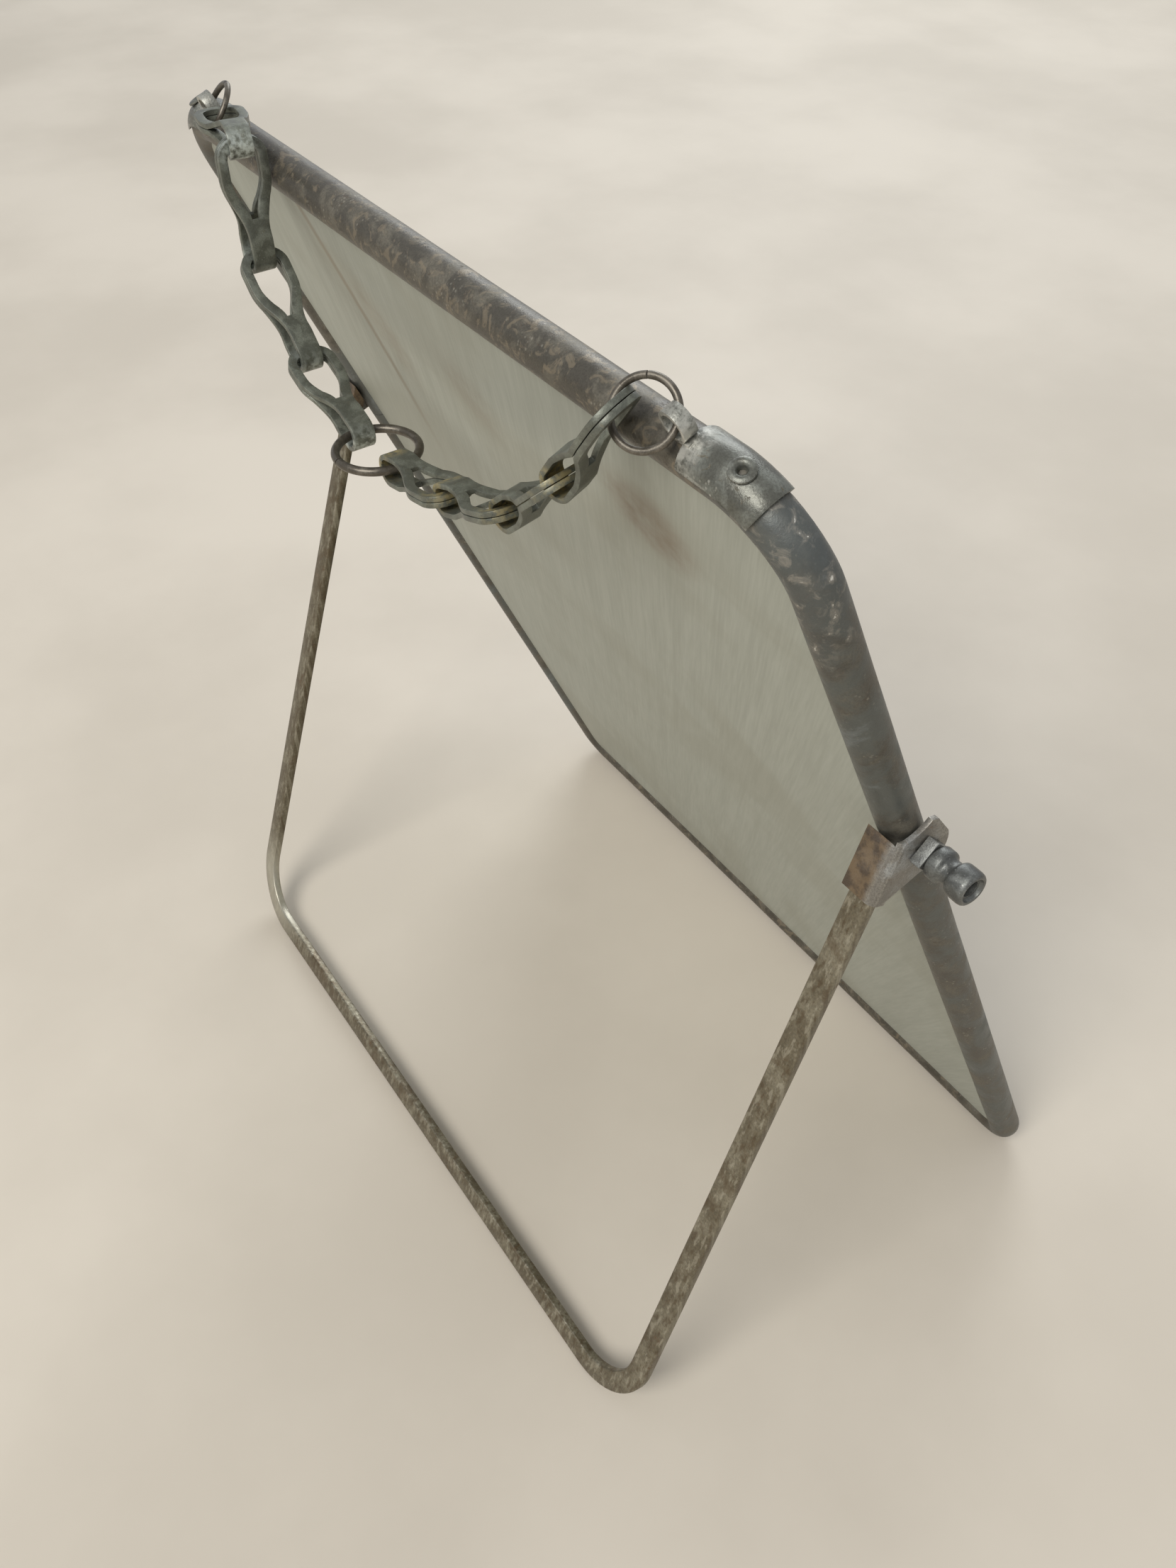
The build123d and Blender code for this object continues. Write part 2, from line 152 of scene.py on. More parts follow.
def make_patina():
    """Old plated metal: cloudy mottling, worn-through spots, rubbed edges and fine pitting."""
    tree, n, gi, go = shader_group(
        "patina",
        [("Vector", "NodeSocketVector", (0, 0, 0)), ("Metal", "NodeSocketColor", rgb(85, 82, 78)),
         ("Cloud", "NodeSocketColor", rgb(120, 118, 112)), ("Stain", "NodeSocketColor", rgb(92, 74, 52)),
         ("Worn", "NodeSocketColor", rgb(190, 185, 170)), ("Cloud Size", "NodeSocketFloat", 0.22),
         ("Stain Amount", "NodeSocketFloat", 0.4), ("Edge Amount", "NodeSocketFloat", 0.5),
         ("Speck Amount", "NodeSocketFloat", 0.3), ("Metal Amount", "NodeSocketFloat", 0.6),
         ("Roughness", "NodeSocketFloat", 0.5)],
        [("Color", "NodeSocketColor"), ("Roughness", "NodeSocketFloat"), ("Metallic", "NodeSocketFloat"),
         ("Height", "NodeSocketFloat")])
    vec = gi.outputs["Vector"]
    size = gi.outputs["Cloud Size"]
    cloud = n.add("ShaderNodeTexNoise", Vector=vec, Scale=size, Detail=6.0, Roughness=0.62, Distortion=0.4)
    cloud_f = n.ramp(cloud.outputs["Fac"], 0.42, 0.64)
    stain = n.add("ShaderNodeTexNoise", Vector=vec, Scale=n.math("MULTIPLY", size, 1.9), Detail=7.0,
                  Roughness=0.7, Distortion=1.1)
    low = n.math("SUBTRACT", 0.68, n.math("MULTIPLY", gi.outputs["Stain Amount"], 0.22))
    stain_f = n.ramp(stain.outputs["Fac"], low, n.math("ADD", low, 0.12))
    pit = n.add("ShaderNodeTexNoise", Vector=vec, Scale=n.math("MULTIPLY", size, 14.0), Detail=4.0,
                Roughness=0.6)
    speck = n.add("ShaderNodeTexVoronoi", Vector=vec, Scale=n.math("MULTIPLY", size, 5.0))
    speck_f = n.ramp(n.math("SUBTRACT", 0.30, speck.outputs["Distance"]), 0.0, 0.16)
    gate = n.ramp(n.add("ShaderNodeTexNoise", Vector=vec, Scale=n.math("MULTIPLY", size, 0.8),
                        Detail=2.0).outputs["Fac"], 0.52, 0.66)
    speck_f = n.math("MULTIPLY", n.math("MULTIPLY", speck_f, gate), gi.outputs["Speck Amount"])
    geo = n.add("ShaderNodeNewGeometry")
    edge = n.ramp(geo.outputs["Pointiness"], 0.53, 0.62)
    edge = n.math("MULTIPLY", edge, n.ramp(pit.outputs["Fac"], 0.30, 0.56))
    edge = n.math("MULTIPLY", edge, gi.outputs["Edge Amount"], clamp=True)
    color = n.mix(cloud_f, gi.outputs["Metal"], gi.outputs["Cloud"])
    color = n.mix(stain_f, color, gi.outputs["Stain"])
    dark = n.ramp(pit.outputs["Fac"], 0.36, 0.60)
    color = n.mix(n.math("MULTIPLY", n.math("SUBTRACT", 1.0, dark), 0.30), color, rgb(52, 48, 42))
    color = n.mix(n.math("MAXIMUM", speck_f, edge), color, gi.outputs["Worn"])
    rough = n.math("ADD", gi.outputs["Roughness"], n.math("MULTIPLY", n.math("SUBTRACT", cloud_f, 0.4), 0.16))
    rough = n.math("SUBTRACT", rough, n.math("MULTIPLY", n.math("MAXIMUM", speck_f, edge), 0.22), clamp=True)
    metal = n.math("SUBTRACT", gi.outputs["Metal Amount"], n.math("MULTIPLY", stain_f, 0.3), clamp=True)
    height = n.math("ADD", n.math("MULTIPLY", pit.outputs["Fac"], 0.5), n.math("MULTIPLY", stain_f, -0.35))
    height = n.math("ADD", height, n.math("MULTIPLY", cloud.outputs["Fac"], 0.5))
    for label, value in (("Color", color), ("Roughness", rough), ("Metallic", metal), ("Height", height)):
        tree.links.new(value, go.inputs[label])
    return tree


def make_scratches():
    """Fine parallel scratches; Vector's x runs across them."""
    tree, n, gi, go = shader_group(
        "scratches", [("Vector", "NodeSocketVector", (0, 0, 0)), ("Density", "NodeSocketFloat", 3.0)],
        [("Fac", "NodeSocketFloat")])
    stretch = n.add("ShaderNodeMapping", Vector=gi.outputs["Vector"])
    stretch.inputs["Scale"].default_value = (1.0, 0.035, 0.035)
    fine = n.add("ShaderNodeTexNoise", Vector=stretch.outputs[0], Scale=gi.outputs["Density"], Detail=5.0,
                 Roughness=0.65)
    coarse = n.math("MULTIPLY", gi.outputs["Density"], 0.21)
    broad = n.add("ShaderNodeTexNoise", Vector=stretch.outputs[0], Scale=coarse, Detail=3.0)
    fac = n.math("ADD", n.math("MULTIPLY", fine.outputs["Fac"], 0.65),
                 n.math("MULTIPLY", broad.outputs["Fac"], 0.35))
    tree.links.new(fac, go.inputs["Fac"])
    return tree


PATINA = make_patina()
SCRATCHES = make_scratches()


def new_material(name):
    mat = bpy.data.materials.new(name)
    mat.use_nodes = True
    tree = mat.node_tree
    tree.nodes.clear()
    n = Nodes(tree)
    out = n.add("ShaderNodeOutputMaterial")
    bsdf = n.add("ShaderNodeBsdfPrincipled")
    tree.links.new(bsdf.outputs[0], out.inputs[0])
    coord = n.add("ShaderNodeTexCoord").outputs["Object"]
    return mat, n, bsdf, coord


def in_mm(n, coord):
    return n.add("ShaderNodeMapping", Vector=coord, Scale=(1 / MM, 1 / MM, 1 / MM)).outputs[0]


def bump(n, bsdf, height, strength, depth_mm):
    node = n.add("ShaderNodeBump", Height=height, Strength=strength, Distance=depth_mm * MM)
    n.tree.links.new(node.outputs[0], bsdf.inputs["Normal"])


def group_node(n, tree, **inputs):
    node = n.tree.nodes.new("ShaderNodeGroup")
    node.node_tree = tree
    for key, value in inputs.items():
        socket = node.inputs[key.replace("__", " ")]
        if isinstance(value, bpy.types.NodeSocket):
            n.tree.links.new(value, socket)
        else:
            socket.default_value = value
    return node


def plated(name, metal, cloud, stain, worn, depth=0.12, tint=None, **kw):
    """A finish from the patina group. tint(n, coord, color) may add this piece's own marks."""
    mat, n, bsdf, coord = new_material(name)
    vec = in_mm(n, coord)
    p = group_node(n, PATINA, Vector=vec, Metal=metal, Cloud=cloud, Stain=stain, Worn=worn, **kw)
    color = p.outputs["Color"]
    if tint:
        color = tint(n, vec, color)
    links = n.tree.links
    links.new(color, bsdf.inputs["Base Color"])
    links.new(p.outputs["Roughness"], bsdf.inputs["Roughness"])
    links.new(p.outputs["Metallic"], bsdf.inputs["Metallic"])
    bump(n, bsdf, p.outputs["Height"], 0.5, depth)
    return mat


def blob(n, vec, centre, radii):
    """1 at a place given in millimetres, fading to 0 at its radii."""
    offset = n.add("ShaderNodeVectorMath", _operation="SUBTRACT", i0=vec, i1=tuple(centre))
    scaled = n.add("ShaderNodeVectorMath", _operation="DIVIDE", i0=offset.outputs[0], i1=tuple(radii))
    length = n.add("ShaderNodeVectorMath", _operation="LENGTH", i0=scaled.outputs[0])
    return n.ramp(n.math("SUBTRACT", 1.0, length.outputs["Value"]), 0.0, 0.7)


def rim_marks(n, vec, color):
    """Grey-blue patches down the sides, a rubbed bright corner with painted glints on it, and tan flakes
    along the top.
    """
    across = n.math("ABSOLUTE", n.add("ShaderNodeSeparateXYZ", Vector=vec).outputs["X"])
    side = n.ramp(across, 60.0, 74.0)
    patch = n.add("ShaderNodeTexNoise", Vector=vec, Scale=0.10, Detail=7.0, Roughness=0.68, Distortion=0.5)
    grey = n.math("MULTIPLY", n.ramp(patch.outputs["Fac"], 0.40, 0.58), side)
    color = n.mix(n.math("MULTIPLY", grey, 0.72), color, rgb(92, 97, 94))
    pale = n.math("MULTIPLY", n.ramp(patch.outputs["Fac"], 0.60, 0.70), side)
    color = n.mix(n.math("MULTIPLY", pale, 0.5), color, rgb(126, 132, 133))
    flake = n.add("ShaderNodeTexNoise", Vector=vec, Scale=0.42, Detail=5.0, Roughness=0.62, Distortion=1.2)
    flake_f = n.math("MULTIPLY", n.ramp(flake.outputs["Fac"], 0.53, 0.64), n.math("SUBTRACT", 1.0, side))
    color = n.mix(n.math("MULTIPLY", flake_f, 0.55), color, rgb(136, 124, 104))
    corner = blob(n, vec, on_panel(-71, 188, 5) / MM, (15, 15, 18))
    speck = n.add("ShaderNodeTexNoise", Vector=vec, Scale=0.48, Detail=6.0, Roughness=0.66, Distortion=0.6)
    color = n.mix(n.math("MULTIPLY", corner, 0.45), color, rgb(92, 96, 96))
    bright = n.math("MULTIPLY", n.ramp(speck.outputs["Fac"], 0.50, 0.66), corner)
    color = n.mix(n.math("MULTIPLY", bright, 0.5), color, rgb(164, 157, 145))
    # painted highlight: near-white glint specks over the rubbed corner
    painted_glint = n.math("MULTIPLY", n.ramp(speck.outputs["Fac"], 0.64, 0.70), corner)
    return n.mix(painted_glint, color, rgb(232, 230, 220))


def stand_marks(n, vec, color):
    """Dark tarnish streaks along the strip, patches on its foot, and a painted highlight on one bend."""
    streak = n.add("ShaderNodeMapping", Vector=vec, Rotation=(-STAND_OPEN, 0, 0), Scale=(1.1, 1.1, 0.05))
    lines = n.add("ShaderNodeTexNoise", Vector=streak.outputs[0], Scale=1.0, Detail=4.0, Roughness=0.6)
    color = n.mix(n.math("MULTIPLY", n.ramp(lines.outputs["Fac"], 0.52, 0.66), 0.6), color, rgb(78, 62, 42))
    pale = n.math("MULTIPLY", n.ramp(lines.outputs["Fac"], 0.47, 0.36), 0.4)
    color = n.mix(pale, color, rgb(176, 170, 152))
    patch = n.add("ShaderNodeTexNoise", Vector=vec, Scale=0.11, Detail=6.0, Roughness=0.72, Distortion=0.7)
    color = n.mix(n.math("MULTIPLY", n.ramp(patch.outputs["Fac"], 0.54, 0.62), 0.55), color, rgb(92, 78, 58))
    painted_bend_highlight = blob(n, vec, on_stand(71, ARM_L - 7, ARM_BACK) / MM, (17, 17, 17))
    # painted highlight: a smooth pale pool laid over one bend of the strip
    return n.mix(n.math("MULTIPLY", painted_bend_highlight, 0.55), color, rgb(196, 192, 176))


def hinge_marks(n, vec, color):
    """Brown tarnish on the back of the fold, grey on the side plate."""
    x = n.math("ABSOLUTE", n.add("ShaderNodeSeparateXYZ", Vector=vec).outputs["X"])
    back = n.ramp(x, 77.6, 76.2)
    grain = n.add("ShaderNodeTexNoise", Vector=vec, Scale=0.5, Detail=5.0, Roughness=0.6)
    brown = n.mix(n.ramp(grain.outputs["Fac"], 0.38, 0.62), rgb(68, 52, 36), rgb(112, 92, 66))
    return n.mix(n.math("MULTIPLY", back, 0.85), color, brown)


def lug_marks(n, vec, color):
    """The eye end of the strap is rubbed bright, its far end dull."""
    for side in (-1, 1):
        tip = blob(n, vec, on_panel(side * 60, 201, 4.4) / MM, (4.6, 4.6, 4.6))
        grain = n.add("ShaderNodeTexNoise", Vector=vec, Scale=0.7, Detail=5.0, Roughness=0.6)
        rubbed = n.math("MULTIPLY", tip, n.ramp(grain.outputs["Fac"], 0.36, 0.60))
        color = n.mix(rubbed, color, rgb(186, 184, 174))
    return color


mat_rim = plated(
    "tarnished_rim", rgb(84, 80, 71), rgb(112, 107, 95), rgb(80, 70, 56), rgb(178, 172, 156), tint=rim_marks,
    Cloud__Size=0.26, Stain__Amount=0.5, Edge__Amount=0.06, Speck__Amount=0.30,
    Metal__Amount=0.55, Roughness=0.46)
mat_stand = plated(
    "worn_stand_plate", rgb(106, 98, 80), rgb(134, 127, 108), rgb(92, 74, 50), rgb(212, 205, 184),
    tint=stand_marks, Cloud__Size=0.16, Stain__Amount=0.5, Edge__Amount=0.30, Speck__Amount=0.1,
    Metal__Amount=0.6, Roughness=0.38)
mat_hinge = plated(
    "worn_hinge_sheet", rgb(124, 120, 112), rgb(150, 150, 146), rgb(104, 84, 60), rgb(206, 202, 188),
    tint=hinge_marks, Cloud__Size=0.30, Stain__Amount=0.45, Edge__Amount=0.14, Speck__Amount=0.1,
    Metal__Amount=0.5, Roughness=0.44)
mat_nut = plated(
    "dull_turned_metal", rgb(90, 91, 88), rgb(116, 118, 114), rgb(70, 70, 70), rgb(200, 200, 194),
    Cloud__Size=0.40, Stain__Amount=0.35, Edge__Amount=0.35, Speck__Amount=0.2,
    Metal__Amount=0.6, Roughness=0.40)
mat_lug = plated(
    "tarnished_lug", rgb(92, 92, 84), rgb(118, 120, 112), rgb(88, 80, 62), rgb(216, 214, 202), tint=lug_marks,
    Cloud__Size=0.28, Stain__Amount=0.5, Edge__Amount=0.25, Speck__Amount=0.35,
    Metal__Amount=0.5, Roughness=0.40)
mat_wire = plated(
    "dark_wire", rgb(88, 82, 72), rgb(114, 108, 97), rgb(66, 55, 42), rgb(170, 162, 146), depth=0.05,
    Cloud__Size=0.5, Stain__Amount=0.3, Edge__Amount=0.05, Speck__Amount=0.1,
    Metal__Amount=0.6, Roughness=0.36)


def link_marks(worn_at, rubbed):
    """Marks for a link: rubbed metal at the folds given in worn_at."""
    def marks(n, vec, color):
        for place in worn_at:
            spot = blob(n, vec, place, (4.2, 4.2, 4.2))
            grain = n.add("ShaderNodeTexNoise", Vector=vec, Scale=0.9, Detail=5.0, Roughness=0.6)
            mask = n.math("MULTIPLY", spot, n.ramp(grain.outputs["Fac"], 0.38, 0.62))
            color = n.mix(mask, color, rubbed)
        return color
    return marks


def make_back_plate():
    mat, n, bsdf, coord = new_material("matt_back_plate")
    vec = in_mm(n, coord)
    lay = n.add("ShaderNodeMapping", Vector=vec, Rotation=(0, math.radians(28), 0))
    s = group_node(n, SCRATCHES, Vector=lay.outputs[0], Density=2.2)
    base = n.mix(n.ramp(s.outputs["Fac"], 0.30, 0.70), rgb(151, 153, 141), rgb(166, 168, 156))
    haze = n.add("ShaderNodeTexNoise", Vector=vec, Scale=0.022, Detail=4.0, Roughness=0.55, Distortion=0.6)
    base = n.mix(n.math("MULTIPLY", n.ramp(haze.outputs["Fac"], 0.45, 0.62), 0.35), base, rgb(140, 138, 122))
    # soft brown smudges hanging below the chain
    smudges = (((-42, 176), (12, 30, 10), 0.9), ((30, 172), (7, 30, 15), 0.4), ((4, 172), (9, 30, 10), 0.35))
    for (u, v), radii, amount in smudges:
        spot = blob(n, vec, on_panel(u, v, 4.8) / MM, radii)
        grain = n.add("ShaderNodeTexNoise", Vector=vec, Scale=0.3, Detail=4.0)
        smudge = n.math("MULTIPLY", n.math("MULTIPLY", spot, grain.outputs["Fac"]), amount)
        base = n.mix(smudge, base, rgb(110, 88, 62))
    # a thin brown rub left by the chain, running down the far side
    xyz = n.add("ShaderNodeSeparateXYZ", Vector=vec)
    drop = n.math("SUBTRACT", 183.0, xyz.outputs["Z"])
    bow = n.math("MULTIPLY", n.math("MULTIPLY", drop, drop), 0.0016)
    line = n.math("ABSOLUTE", n.math("SUBTRACT", n.math("SUBTRACT", xyz.outputs["X"], 36.0), bow))
    rub = n.math("MULTIPLY", n.ramp(line, 1.7, 0.2), n.ramp(xyz.outputs["Z"], 118.0, 150.0))
    base = n.mix(n.math("MULTIPLY", rub, 0.5), base, rgb(116, 98, 74))
    n.tree.links.new(base, bsdf.inputs["Base Color"])
    rough = n.math("ADD", 0.50, n.math("MULTIPLY", s.outputs["Fac"], 0.12))
    n.tree.links.new(rough, bsdf.inputs["Roughness"])
    bsdf.inputs["Metallic"].default_value = 0.15
    bump(n, bsdf, s.outputs["Fac"], 0.12, 0.03)
    return mat


def make_mirror():
    mat, n, bsdf, coord = new_material("silvered_glass")
    vec = in_mm(n, coord)
    spots = n.add("ShaderNodeTexNoise", Vector=vec, Scale=0.12, Detail=8.0, Roughness=0.72)
    f = n.ramp(spots.outputs["Fac"], 0.68, 0.78)
    color = n.mix(f, rgb(232, 236, 236), rgb(86, 80, 70))
    n.tree.links.new(color, bsdf.inputs["Base Color"])
    n.tree.links.new(n.math("ADD", 0.03, n.math("MULTIPLY", f, 0.4)), bsdf.inputs["Roughness"])
    bsdf.inputs["Metallic"].default_value = 1.0
    return mat


def make_card():
    mat, n, bsdf, coord = new_material("brown_card")
    grain = n.add("ShaderNodeTexNoise", Vector=in_mm(n, coord), Scale=1.2, Detail=6.0)
    color = n.mix(grain.outputs["Fac"], rgb(120, 98, 70), rgb(150, 126, 94))
    n.tree.links.new(color, bsdf.inputs["Base Color"])
    bsdf.inputs["Roughness"].default_value = 0.9
    return mat


def make_floor():
    mat, n, bsdf, coord = new_material("pale_table_top")
    vec = in_mm(n, coord)
    cloud = n.add("ShaderNodeTexNoise", Vector=vec, Scale=0.006, Detail=6.0, Roughness=0.55)
    color = n.mix(n.ramp(cloud.outputs["Fac"], 0.35, 0.68), rgb(188, 179, 164), rgb(201, 192, 177))
    n.tree.links.new(color, bsdf.inputs["Base Color"])
    bsdf.inputs["Roughness"].default_value = 0.62
    return mat


mat_plate = make_back_plate()
mat_mirror = make_mirror()
mat_card = make_card()
mat_floor = make_floor()


# ---------------------------------------------------------------- meshes
FLAT_ANGLE = 4.0


def finish_mesh(name, verts, faces, mat, sharp):
    mesh = bpy.data.meshes.new(name)
    mesh.from_pydata([tuple(v) for v in verts], [], faces)
    obj = bpy.data.objects.new(name, mesh)
    bpy.context.scene.collection.objects.link(obj)
    tidy_mesh(obj, sharp)
    mesh.materials.append(mat)
    return obj


def tidy_mesh(obj, sharp):
    """Join doubled points, turn the faces outwards and smooth all but the sharp edges."""
    bm = bmesh.new()
    bm.from_mesh(obj.data)
    bmesh.ops.remove_doubles(bm, verts=bm.verts, dist=1e-7)
    bmesh.ops.recalc_face_normals(bm, faces=bm.faces)
    bm.to_mesh(obj.data)
    bm.free()
    obj.data.polygons.foreach_set("use_smooth", [True] * len(obj.data.polygons))
    obj.data.set_sharp_from_angle(angle=math.radians(sharp))
    obj.data.update()


def loft(name, rings, mat, sharp, closed=False):
    """Skin over rings of points; each ring is a closed loop of the same count."""
    count = len(rings[0])
    verts = [p for ring in rings for p in ring]
    faces = []
    spans = len(rings) if closed else len(rings) - 1
    for i in range(spans):
        a = i * count
        b = ((i + 1) % len(rings)) * count
        for j in range(count):
            k = (j + 1) % count
            faces.append((a + j, a + k, b + k, b + j))
    if not closed:
        faces.append(tuple(range(count)))
        faces.append(tuple((len(rings) - 1) * count + j for j in range(count)))
    return finish_mesh(name, verts, faces, mat, sharp)


def apply_modifiers(obj):
    deps = bpy.context.evaluated_depsgraph_get()
    mesh = bpy.data.meshes.new_from_object(obj.evaluated_get(deps))
    obj.modifiers.clear()
    old = obj.data
    obj.data = mesh
    mesh.name = obj.name
    if old.users == 0:
        bpy.data.meshes.remove(old)


def soften(obj, width_mm, angle=35.0, sharp=50.0):
    """Round the edges that turn by more than an angle."""
    mod = obj.modifiers.new("soften", "BEVEL")
    mod.width = width_mm * MM
    mod.segments = 2
    mod.limit_method = "ANGLE"
    mod.angle_limit = math.radians(angle)
    mod.harden_normals = False
    apply_modifiers(obj)
    tidy_mesh(obj, sharp)
    return obj


def from_cad(node, name, mat, width_mm):
    """A copy of a CAD node with its flat faces joined up and its edges rounded."""
    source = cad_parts[node]
    obj = bpy.data.objects.new(name, source.data.copy())
    bpy.context.scene.collection.objects.link(obj)
    obj.data.materials.clear()
    bm = bmesh.new()
    bm.from_mesh(obj.data)
    bmesh.ops.remove_doubles(bm, verts=bm.verts, dist=2e-6)
    bmesh.ops.dissolve_limit(bm, angle_limit=math.radians(FLAT_ANGLE), verts=bm.verts, edges=bm.edges)
    bmesh.ops.recalc_face_normals(bm, faces=bm.faces)
    bm.to_mesh(obj.data)
    bm.free()
    obj.data.materials.append(mat)
    return soften(obj, width_mm)


def place(obj, body, nodes, slot):
    """Hand a finished piece over: its body and the CAD nodes it stands for. slot, a material slot name, is
    not used.
    """
    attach(obj, body)
    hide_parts(*nodes)


# ---------------------------------------------------------------- rim
def arc_points(cx, cy, r, start, sweep, count):
    out = []
    for i in range(count + 1):
        a = math.radians(start + sweep * i / count)
        out.append(((cx + r * math.cos(a), cy + r * math.sin(a)), (math.cos(a), math.sin(a))))
    return out


def line_points(p, q, normal, step=2.0):
    length = math.hypot(q[0] - p[0], q[1] - p[1])
    count = max(1, round(length / step))
    return [((p[0] + (q[0] - p[0]) * i / count, p[1] + (q[1] - p[1]) * i / count), normal)
            for i in range(count + 1)]


def rim_path(upper):
    """(place, outward) along the middle of one rim half, which starts just clear of the seam."""
    x = PANEL_W / 2 - RIM_R
    if upper:
        r = TOP_R - RIM_R
        y = PANEL_H - RIM_R
        seam = SEAM_V + SEAM_GAP / 2
        runs = [
            line_points((x, seam), (x, y - r), (1, 0)),
            arc_points(x - r, y - r, r, 0, 90, 12),
            line_points((x - r, y), (-x + r, y), (0, 1)),
            arc_points(-x + r, y - r, r, 90, 90, 12),
            line_points((-x, y - r), (-x, seam), (-1, 0)),
        ]
    else:
        r = FOOT_R - RIM_R
        y = RIM_R
        seam = SEAM_V - SEAM_GAP / 2
        runs = [
            line_points((-x, seam), (-x, y + r), (-1, 0)),
            arc_points(-x + r, y + r, r, 180, 90, 8),
            line_points((-x + r, y), (x - r, y), (0, -1)),
            arc_points(x - r, y + r, r, 270, 90, 8),
            line_points((x, y + r), (x, seam), (1, 0)),
        ]
    out = []
    for run in runs:
        out.extend(run if not out else run[1:])
    return out


def rim_section():
    """Rolled C section: (outward, back) offsets, rounded at its two lips."""
    outer, inner = [], []
    lip_out, lip_in = 141.5, 139.5
    steps = 30
    for i in range(steps + 1):
        a = math.radians(-lip_out + 2 * lip_out * i / steps)
        outer.append((RIM_R * math.cos(a), RIM_R * math.sin(a)))
    for i in range(steps + 1):
        a = math.radians(lip_in - 2 * lip_in * i / steps)
        inner.append(((RIM_R - RIM_WALL) * math.cos(a), (RIM_R - RIM_WALL) * math.sin(a)))
    return outer + inner


def build_rim(name, upper):
    """Sweep the rolled section round one half, a little uneven as old rolled metal is."""
    section = rim_section()
    rings = []
    for (u, v), (ou, ov) in rim_path(upper):
        ring = []
        for out, back in section:
            wave = 1.0 + 0.010 * noise.noise(Vector((u * 0.09, v * 0.09, 3.0 + back * 0.2)))
            wave -= 0.004
            p = on_panel(u + ou * out * wave, v + ov * out * wave, RIM_R + back * wave)
            ring.append(p)
        rings.append(ring)
    return loft(name, rings, mat_rim, 50)


upper = build_rim("rim_upper_half", True)
place(upper, "frame", ["frame_upper"], "rim_metal")
lower = build_rim("rim_lower_half", False)
place(lower, "frame", ["frame_lower"], "rim_metal")


# ---------------------------------------------------------------- glass
def outline(inset):
    """The panel's outline, drawn in by an inset."""
    x, y0, y1 = PANEL_W / 2 - inset, inset, PANEL_H - inset
    rt, rf = TOP_R - inset, FOOT_R - inset
    pts = []
    corners = ((x - rt, y1 - rt, rt, 0), (-x + rt, y1 - rt, rt, 90), (-x + rf, y0 + rf, rf, 180),
               (x - rf, y0 + rf, rf, 270))
    for cx, cy, r, start in corners:
        pts += [point for point, _ in arc_points(cx, cy, r, start, 90, 10)]
    return pts


def build_glass():
    """The pane: flat back, straight edge, and a wide bevel round the front."""
    rings = []
    for inset, w in ((PANE_INSET, 3.91), (PANE_INSET, 1.95), (PANE_INSET + BEVEL_W, 1.13)):
        rings.append([on_panel(u, v, w) for u, v in outline(inset)])
    return loft("bevelled_glass", rings, mat_mirror, 2.0)


glass = build_glass()
place(glass, "frame", ["mirror_glass"], "mirror_glass")
for node, mat in (("backing_card", mat_card), ("back_plate", mat_plate), ("splice_strip_left", mat_nut),
                  ("splice_strip_right", mat_nut)):
    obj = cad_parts[node]
    obj.data.materials.clear()
    obj.data.materials.append(mat)


# ---------------------------------------------------------------- stand
ARM_TOP = -9.0


def build_stand():
    """One flat strip bent into a U, with rubbed corners, swept along its middle line."""
    ro = BEND_R + BAR_W / 2
    xm = ARM_X - BAR_W / 2
    bottom = ARM_L - BAR_W / 2
    path = line_points((xm, ARM_TOP), (xm, bottom - ro), (1, 0), 3.0)
    path += arc_points(xm - ro, bottom - ro, ro, 0, 90, 16)[1:]
    path += line_points((xm - ro, bottom), (-xm + ro, bottom), (0, 1), 3.0)[1:]
    path += arc_points(-xm + ro, bottom - ro, ro, 90, 90, 16)[1:]
    path += line_points((-xm, bottom - ro), (-xm, ARM_TOP), (-1, 0), 3.0)[1:]
    a, b, c = BAR_W / 2, BAR_T / 2, 0.28
    d = c * 0.3
    section = [
        (a, -b + c), (a, b - c), (a - d, b - d), (a - c, b),
        (-a + c, b), (-a + d, b - d), (-a, b - c), (-a, -b + c),
        (-a + d, -b + d), (-a + c, -b), (a - c, -b), (a - d, -b + d),
    ]
    rings = []
    for (x, down), (ox, od) in path:
        wob = 0.05 * noise.noise(Vector((x * 0.05, down * 0.05, 0.0)))
        rings.append([on_stand(x + ox * p, down + od * p, ARM_BACK + q + wob * 0.5) for p, q in section])
    obj = loft("stand_strip", rings, mat_stand, 60)
    bm = bmesh.new()
    bm.from_mesh(obj.data)
    back = on_panel(0, PIVOT_V, 2 * RIM_R + 0.36)
    # trim the arms' top ends where they would reach into the rim
    bmesh.ops.bisect_plane(bm, geom=bm.verts[:] + bm.edges[:] + bm.faces[:], plane_co=back,
                           plane_no=Vector((0, -C, S)), clear_outer=True)
    bmesh.ops.holes_fill(bm, edges=[e for e in bm.edges if e.is_boundary])
    bm.to_mesh(obj.data)
    bm.free()
    tidy_mesh(obj, 60)
    return obj


place(build_stand(), "stand", ["stand_wire"], "stand_metal")
for side in ("left", "right"):
    place(from_cad("hinge_plate_" + side, "hinge_sheet_" + side, mat_hinge, 0.16), "stand",
          ["hinge_plate_" + side], "hinge_sheet")
    place(from_cad("square_nut_" + side, "square_boss_" + side, mat_nut, 0.22), "frame",
          ["square_nut_" + side], "nut_metal")
    place(from_cad("lug_" + side, "lug_strap_" + side, mat_lug, 0.14), "frame", ["lug_" + side], "lug_sheet")


# ---------------------------------------------------------------- turned pieces
def lathe(name, profile, place_fn, mat, segments=48):
    """Closed turned body. profile is a closed loop of (along, radius)."""
    rings = []
    for i in range(segments):
        a = 2 * math.pi * i / segments
        rings.append([place_fn(z, r * math.cos(a), r * math.sin(a)) for z, r in profile])
    return loft(name, rings, mat, 40, closed=True)


def at_pivot(side):
    """Places along the stand's pivot axis, outwards on one side."""
    def put(z, p, q):
        return on_panel(side * z, PIVOT_V + p, RIM_R + q)
    return put


